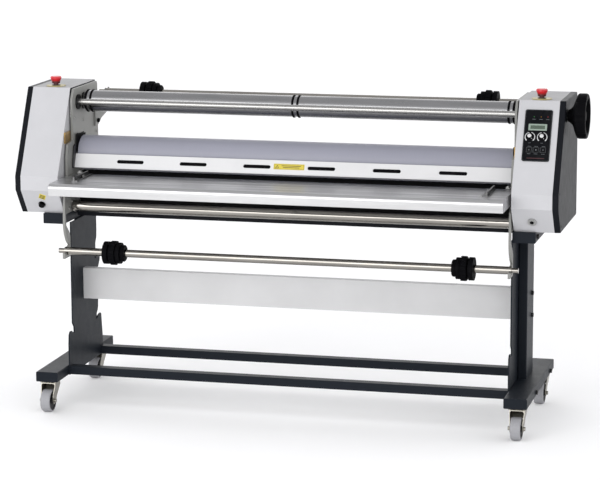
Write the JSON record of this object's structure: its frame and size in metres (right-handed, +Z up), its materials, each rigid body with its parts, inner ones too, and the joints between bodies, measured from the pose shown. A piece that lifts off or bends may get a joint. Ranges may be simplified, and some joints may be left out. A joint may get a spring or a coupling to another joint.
{
  "type": "cold roll laminator",
  "caption": "Motorised cold laminator on a wheeled stand: two long nip rollers between box housings, feed table, slotted guard, media shafts with core chucks, handwheel pressure gear.",
  "frame": {"origin": "on the floor, midway between the side plates and midway between the casters' swivel axes", "axes": "+X to the operator's right along the rollers, +Y away from the operator towards the back, +Z up"},
  "size_m": [2.019, 0.6748, 1.182],
  "materials": {
    "stand_paint": "fine textured dark charcoal powder coat",
    "plate_paint": "satin grey paint",
    "cover_paint": "fine textured light grey powder coat",
    "end_paint": "satin black paint",
    "panel_paint": "fine textured light grey powder coat",
    "zinc": "bright zinc plate, slightly yellowed",
    "bolt_steel": "black oxide steel",
    "machined_steel": "machined steel, turned finish",
    "chrome": "hard chrome, polished",
    "aluminium": "satin anodised aluminium",
    "table_aluminium": "brushed aluminium sheet, light scratches",
    "guard_paint": "white powder coat",
    "roller_silicone": "smooth grey silicone, slight sheen",
    "roller_black": "smooth black rubber",
    "caster_tyre": "grey thermoplastic rubber",
    "black_plastic": "moulded black plastic",
    "control_film": "black membrane film",
    "knob_plastic": "black plastic",
    "red_plastic": "red moulded plastic",
    "estop_yellow": "yellow legend ring",
    "chain_steel": "oiled dark steel"
  },
  "bodies": {
    "frame": {"bearing_flanges": "machined_steel", "caster_plates": "zinc", "control_panel": "control_film", "drive_chain": "chain_steel", "drive_controller": "plate_paint", "end_covers": "end_paint", "estop_bases": "estop_yellow", "frame_beams": "end_paint", "front_fittings": "machined_steel", "gear_motor": "black_plastic", "hook_plates": "stand_paint", "left_front_cover": "cover_paint", "left_leg": "stand_paint", "left_side_plate": "plate_paint", "power_inlet": "black_plastic", "rear_covers": "cover_paint", "right_front_cover": "cover_paint", "right_leg": "stand_paint", "right_side_plate": "plate_paint", "stand_bolts": "bolt_steel", "stand_panel": "panel_paint", "stretchers": "stand_paint", "supply_brackets": "plate_paint"},
    "carriage": {"bearing_blocks": "machined_steel"},
    "top_roller": {"top_roller_core": "machined_steel", "top_roller_sleeve": "roller_silicone"},
    "bottom_roller": {"bottom_roller": "roller_black", "roller_sprocket": "chain_steel"},
    "motor_drive": {"motor_sprocket": "chain_steel"},
    "cross": {"cross_shaft": "machined_steel", "pressure_cams": "machined_steel", "handwheel": "black_plastic"},
    "grip": {"grip_shaft": "aluminium"},
    "supply": {"supply_shaft": "chrome"},
    "take_up": {"take_up_shaft": "chrome"},
    "supply_chuck_left": {"supply_chuck_left": "black_plastic"},
    "supply_chuck_right": {"supply_chuck_right": "black_plastic"},
    "take_up_chuck_left": {"take_up_chuck_left": "black_plastic"},
    "take_up_chuck_right": {"take_up_chuck_right": "black_plastic"},
    "idler": {"idler_roller": "chrome"},
    "table": {"feed_table": "table_aluminium"},
    "guide_left": {"left_guide": "aluminium"},
    "guide_right": {"right_guide": "aluminium"},
    "guard": {"guard": "guard_paint"},
    "speed_knob": {"speed_knob": "knob_plastic"},
    "count_knob": {"count_knob": "knob_plastic"},
    "forward_button": {"forward_button": "knob_plastic"},
    "stop_button": {"stop_button": "knob_plastic"},
    "reverse_button": {"reverse_button": "knob_plastic"},
    "left_estop": {"left_estop": "red_plastic"},
    "right_estop": {"right_estop": "red_plastic"},
    "key": {"key_cylinder": "machined_steel"},
    "swivel_front_left": {"caster_fork_front_left": "zinc"},
    "wheel_front_left": {"caster_wheel_front_left": "caster_tyre"},
    "swivel_front_right": {"caster_fork_front_right": "zinc"},
    "wheel_front_right": {"caster_wheel_front_right": "caster_tyre"},
    "swivel_rear_left": {"caster_fork_rear_left": "zinc"},
    "wheel_rear_left": {"caster_wheel_rear_left": "caster_tyre"},
    "swivel_rear_right": {"caster_fork_rear_right": "zinc"},
    "wheel_rear_right": {"caster_wheel_rear_right": "caster_tyre"}
  },
  "joints": [
    {"name": "caster_swivel_front_left", "type": "hinge", "parent": "frame", "child": "swivel_front_left", "pos_m": [-0.85, -0.26, 0.1], "axis": [0, 0, 1], "continuous": true},
    {"name": "caster_wheel_front_left", "type": "hinge", "parent": "swivel_front_left", "child": "wheel_front_left", "pos_m": [-0.85, -0.291, 0.04], "axis": [1, 0, 0], "continuous": true},
    {"name": "caster_swivel_front_right", "type": "hinge", "parent": "frame", "child": "swivel_front_right", "pos_m": [0.85, -0.26, 0.1], "axis": [0, 0, 1], "continuous": true},
    {"name": "caster_wheel_front_right", "type": "hinge", "parent": "swivel_front_right", "child": "wheel_front_right", "pos_m": [0.85, -0.291, 0.04], "axis": [1, 0, 0], "continuous": true},
    {"name": "caster_swivel_rear_left", "type": "hinge", "parent": "frame", "child": "swivel_rear_left", "pos_m": [-0.85, 0.26, 0.1], "axis": [0, 0, 1], "continuous": true},
    {"name": "caster_wheel_rear_left", "type": "hinge", "parent": "swivel_rear_left", "child": "wheel_rear_left", "pos_m": [-0.85, 0.229, 0.04], "axis": [1, 0, 0], "continuous": true},
    {"name": "caster_swivel_rear_right", "type": "hinge", "parent": "frame", "child": "swivel_rear_right", "pos_m": [0.85, 0.26, 0.1], "axis": [0, 0, 1], "continuous": true},
    {"name": "caster_wheel_rear_right", "type": "hinge", "parent": "swivel_rear_right", "child": "wheel_rear_right", "pos_m": [0.85, 0.229, 0.04], "axis": [1, 0, 0], "continuous": true},
    {"name": "handwheel_turn", "type": "hinge", "parent": "frame", "child": "cross", "pos_m": [0, -0.047, 1.092], "axis": [1, 0, 0], "range_deg": [0, 240]},
    {"name": "top_roller_lift", "type": "slide", "parent": "frame", "child": "carriage", "axis": [0, 0, 1], "range_m": [0, 0.02]},
    {"name": "top_roller_spin", "type": "hinge", "parent": "carriage", "child": "top_roller", "pos_m": [0, -0.02, 0.9052], "axis": [1, 0, 0], "continuous": true},
    {"name": "bottom_roller_spin", "type": "hinge", "parent": "frame", "child": "bottom_roller", "pos_m": [0, -0.02, 0.7788], "axis": [1, 0, 0], "continuous": true},
    {"name": "motor_spin", "type": "hinge", "parent": "frame", "child": "motor_drive", "pos_m": [0.85, 0.108, 0.8], "axis": [1, 0, 0], "continuous": true},
    {"name": "grip_shaft_spin", "type": "hinge", "parent": "frame", "child": "grip", "pos_m": [0, 0.018, 1.089], "axis": [1, 0, 0], "continuous": true},
    {"name": "supply_shaft_spin", "type": "hinge", "parent": "frame", "child": "supply", "pos_m": [0, 0.2715, 1.09], "axis": [1, 0, 0], "continuous": true},
    {"name": "take_up_shaft_spin", "type": "hinge", "parent": "frame", "child": "take_up", "pos_m": [0, -0.187, 0.57], "axis": [1, 0, 0], "continuous": true},
    {"name": "idler_spin", "type": "hinge", "parent": "frame", "child": "idler", "pos_m": [0, -0.122, 0.724], "axis": [1, 0, 0], "continuous": true},
    {"name": "supply_chuck_left_slide", "type": "slide", "parent": "supply", "child": "supply_chuck_left", "axis": [1, 0, 0], "range_m": [-0.1, 0.5]},
    {"name": "supply_chuck_right_slide", "type": "slide", "parent": "supply", "child": "supply_chuck_right", "axis": [1, 0, 0], "range_m": [-0.5, 0.1]},
    {"name": "take_up_chuck_left_slide", "type": "slide", "parent": "take_up", "child": "take_up_chuck_left", "axis": [1, 0, 0], "range_m": [-0.1, 0.5]},
    {"name": "take_up_chuck_right_slide", "type": "slide", "parent": "take_up", "child": "take_up_chuck_right", "axis": [1, 0, 0], "range_m": [-0.5, 0.1]},
    {"name": "feed_table_slide", "type": "slide", "parent": "frame", "child": "table", "axis": [0, -1, 0], "range_m": [0, 0.12]},
    {"name": "left_guide_slide", "type": "slide", "parent": "table", "child": "guide_left", "axis": [1, 0, 0], "range_m": [0, 0.6]},
    {"name": "right_guide_slide", "type": "slide", "parent": "table", "child": "guide_right", "axis": [-1, 0, 0], "range_m": [0, 0.6]},
    {"name": "guard_swing", "type": "hinge", "parent": "frame", "child": "guard", "pos_m": [0, -0.098, 0.932], "axis": [-1, 0, 0], "range_deg": [0, 100]},
    {"name": "speed_knob_turn", "type": "hinge", "parent": "frame", "child": "speed_knob", "pos_m": [0.861, -0.14811, 1.02836], "axis": [0, -0.8921, 0.4519], "range_deg": [-135, 135]},
    {"name": "count_knob_turn", "type": "hinge", "parent": "frame", "child": "count_knob", "pos_m": [0.903, -0.14811, 1.02836], "axis": [0, -0.8921, 0.4519], "range_deg": [-135, 135]},
    {"name": "forward_button_press", "type": "slide", "parent": "frame", "child": "forward_button", "axis": [0, 0.8921, -0.4519], "range_m": [0, 0.002], "stiffness_N_per_m": 300},
    {"name": "stop_button_press", "type": "slide", "parent": "frame", "child": "stop_button", "axis": [0, 0.8921, -0.4519], "range_m": [0, 0.002], "stiffness_N_per_m": 300},
    {"name": "reverse_button_press", "type": "slide", "parent": "frame", "child": "reverse_button", "axis": [0, 0.8921, -0.4519], "range_m": [0, 0.002], "stiffness_N_per_m": 300},
    {"name": "left_estop_press", "type": "slide", "parent": "frame", "child": "left_estop", "axis": [0, 0, -1], "range_m": [0, 0.004]},
    {"name": "right_estop_press", "type": "slide", "parent": "frame", "child": "right_estop", "axis": [0, 0, -1], "range_m": [0, 0.004]},
    {"name": "key_turn", "type": "hinge", "parent": "frame", "child": "key", "pos_m": [0.881, -0.20679, 0.74716], "axis": [0, -0.8076, -0.5898], "range_deg": [0, 90]}
  ],
  "couplings": [
    {"joint": "handwheel_turn", "follows": "top_roller_lift", "rad_per_m": 209.44},
    {"joint": "top_roller_spin", "follows": "bottom_roller_spin", "ratio": -1},
    {"joint": "motor_spin", "follows": "bottom_roller_spin", "ratio": 1.5}
  ]
}
